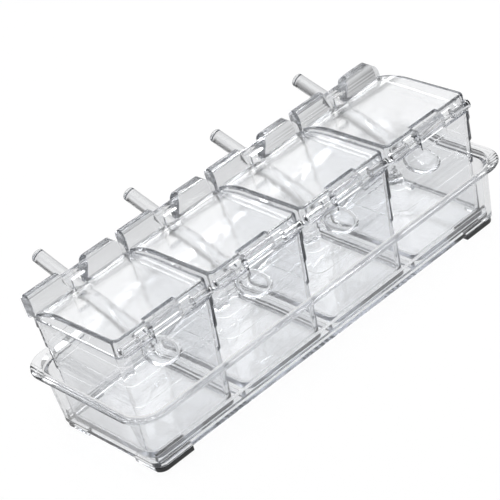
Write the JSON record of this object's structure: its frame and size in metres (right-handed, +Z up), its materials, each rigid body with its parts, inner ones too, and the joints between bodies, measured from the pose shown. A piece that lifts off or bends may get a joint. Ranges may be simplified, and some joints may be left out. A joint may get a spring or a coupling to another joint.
{
  "type": "spice storage box set",
  "caption": "Clear spice box set: open-topped boxes with hinged flip-up lids and a spoon in each, standing side by side in one rimmed tray on corner feet.",
  "frame": {"origin": "middle of the whole set's bounding box in plan, on the surface it stands on", "axes": "+X along the tray, -Y is the side the spoon handles and finger lips face, +Y the hinge side, +Z up"},
  "size_m": [0.3246, 0.139, 0.1004],
  "materials": {
    "clear_acrylic": "clear, polished",
    "clear_spoon": "clear, polished",
    "clear_rod": "clear, polished",
    "dark_rubber": "satin"
  },
  "bodies": {
    "tray": {"tray": "clear_acrylic", "foot_pad_1": "dark_rubber", "foot_pad_2": "dark_rubber", "foot_pad_3": "dark_rubber", "foot_pad_4": "dark_rubber"},
    "box_1": {"container_1": "clear_acrylic"},
    "lid_1": {"lid_1": "clear_acrylic", "hinge_pin_1": "clear_rod"},
    "spoon_1": {"spoon_1": "clear_spoon"},
    "box_2": {"container_2": "clear_acrylic"},
    "lid_2": {"lid_2": "clear_acrylic", "hinge_pin_2": "clear_rod"},
    "spoon_2": {"spoon_2": "clear_spoon"},
    "box_3": {"container_3": "clear_acrylic"},
    "lid_3": {"lid_3": "clear_acrylic", "hinge_pin_3": "clear_rod"},
    "spoon_3": {"spoon_3": "clear_spoon"},
    "box_4": {"container_4": "clear_acrylic"},
    "lid_4": {"lid_4": "clear_acrylic", "hinge_pin_4": "clear_rod"},
    "spoon_4": {"spoon_4": "clear_spoon"}
  },
  "joints": [
    {"name": "box_1_lift", "type": "slide", "parent": "tray", "child": "box_1", "axis": [0, 0, 1], "range_m": [0, 0.06]},
    {"name": "lid_1_hinge", "type": "hinge", "parent": "box_1", "child": "lid_1", "pos_m": [-0.114, 0.05185, 0.0886], "axis": [-1, 0, 0], "range_deg": [0, 105]},
    {"name": "spoon_1_slide", "type": "slide", "parent": "box_1", "child": "spoon_1", "axis": [0, -0.9537, 0.3007], "range_m": [0, 0.03]},
    {"name": "box_2_lift", "type": "slide", "parent": "tray", "child": "box_2", "axis": [0, 0, 1], "range_m": [0, 0.06]},
    {"name": "lid_2_hinge", "type": "hinge", "parent": "box_2", "child": "lid_2", "pos_m": [-0.038, 0.05185, 0.0886], "axis": [-1, 0, 0], "range_deg": [0, 105]},
    {"name": "spoon_2_slide", "type": "slide", "parent": "box_2", "child": "spoon_2", "axis": [0, -0.9537, 0.3007], "range_m": [0, 0.03]},
    {"name": "box_3_lift", "type": "slide", "parent": "tray", "child": "box_3", "axis": [0, 0, 1], "range_m": [0, 0.06]},
    {"name": "lid_3_hinge", "type": "hinge", "parent": "box_3", "child": "lid_3", "pos_m": [0.038, 0.05185, 0.0886], "axis": [-1, 0, 0], "range_deg": [0, 105]},
    {"name": "spoon_3_slide", "type": "slide", "parent": "box_3", "child": "spoon_3", "axis": [0, -0.9537, 0.3007], "range_m": [0, 0.03]},
    {"name": "box_4_lift", "type": "slide", "parent": "tray", "child": "box_4", "axis": [0, 0, 1], "range_m": [0, 0.06]},
    {"name": "lid_4_hinge", "type": "hinge", "parent": "box_4", "child": "lid_4", "pos_m": [0.114, 0.05185, 0.0886], "axis": [-1, 0, 0], "range_deg": [0, 105]},
    {"name": "spoon_4_slide", "type": "slide", "parent": "box_4", "child": "spoon_4", "axis": [0, -0.9537, 0.3007], "range_m": [0, 0.03]}
  ]
}
